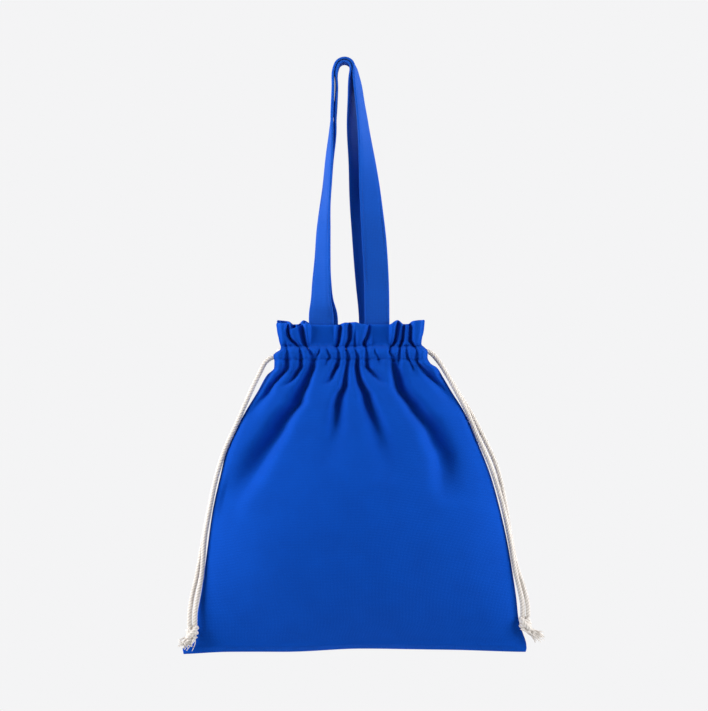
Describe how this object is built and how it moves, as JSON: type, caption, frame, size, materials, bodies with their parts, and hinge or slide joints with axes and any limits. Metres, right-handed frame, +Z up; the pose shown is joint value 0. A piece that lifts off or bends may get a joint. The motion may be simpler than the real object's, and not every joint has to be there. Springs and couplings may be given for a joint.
{
  "type": "drawstring pouch",
  "caption": "Flat cloth pouch with a gathered mouth closed by two drawstring cords, and two long shoulder handles, hanging from its handles.",
  "frame": {"origin": "the point where the handles bear on the hook or peg that they hang from", "axes": "+Z up, -Y the front of the pouch, +X to the right of someone facing the front"},
  "size_m": [0.3803, 0.0964, 0.6243],
  "materials": {
    "canvas": "royal blue dyed cotton canvas, matt, fine plain weave",
    "strap_canvas": "royal blue folded and topstitched canvas strap, matt",
    "cotton_cord": "unbleached twisted cotton cord, matt"
  },
  "bodies": {
    "root": {"front_panel": "canvas", "back_panel": "canvas", "front_handle": "strap_canvas", "back_handle": "strap_canvas", "drawstring_left": "cotton_cord", "drawstring_right": "cotton_cord", "knot_left": "cotton_cord", "knot_right": "cotton_cord"}
  },
  "joints": []
}
